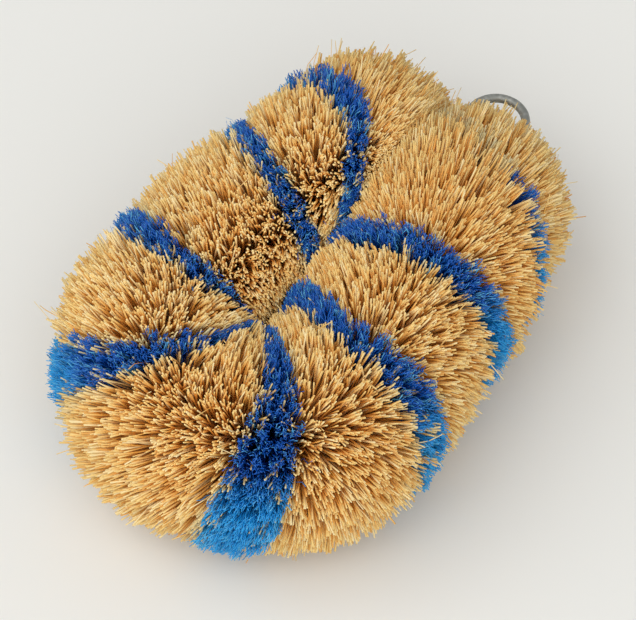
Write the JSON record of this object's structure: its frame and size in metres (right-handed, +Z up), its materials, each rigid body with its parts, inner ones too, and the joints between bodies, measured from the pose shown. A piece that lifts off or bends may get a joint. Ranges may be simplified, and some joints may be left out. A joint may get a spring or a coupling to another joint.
{
  "type": "palm brush",
  "caption": "Palm scrubbing brush: a rod of stiff straw-coloured plant fibre with blue nylon bands, gripped by twisted wires, bent into a loop and tied, with a hanging ring.",
  "frame": {"origin": "on the table, under the middle of the brush's whole length and width with the ring drawn straight out", "axes": "+X across the brush, +Y along it from the bend towards the hanging ring, +Z up from the table that the bristles lie on"},
  "size_m": [0.0979, 0.1505, 0.0535],
  "materials": {
    "natural_fibre": "matt, slightly waxy plant fibre",
    "blue_fibre": "satin nylon monofilament",
    "galvanised_wire": "dull galvanised"
  },
  "bodies": {
    "brush": {"core_wire_a": "galvanised_wire", "core_wire_b": "galvanised_wire", "neck_binding": "galvanised_wire", "hanging_eye": "galvanised_wire", "natural_tuft_1": "natural_fibre", "natural_tuft_2": "natural_fibre", "natural_tuft_3": "natural_fibre", "natural_tuft_4": "natural_fibre", "natural_tuft_5": "natural_fibre", "natural_tuft_6": "natural_fibre", "natural_tuft_7": "natural_fibre", "natural_tuft_8": "natural_fibre", "natural_tuft_9": "natural_fibre", "blue_tuft_1": "blue_fibre", "blue_tuft_2": "blue_fibre", "blue_tuft_3": "blue_fibre", "blue_tuft_4": "blue_fibre", "blue_tuft_5": "blue_fibre", "blue_tuft_6": "blue_fibre", "blue_tuft_7": "blue_fibre", "blue_tuft_8": "blue_fibre"},
    "ring": {"hanging_ring": "galvanised_wire"}
  },
  "joints": [
    {"name": "ring_swing", "type": "hinge", "parent": "brush", "child": "ring", "pos_m": [0.0032, 0.06037, 0.023], "axis": [1, 0, 0], "range_deg": [-90, 90]}
  ]
}
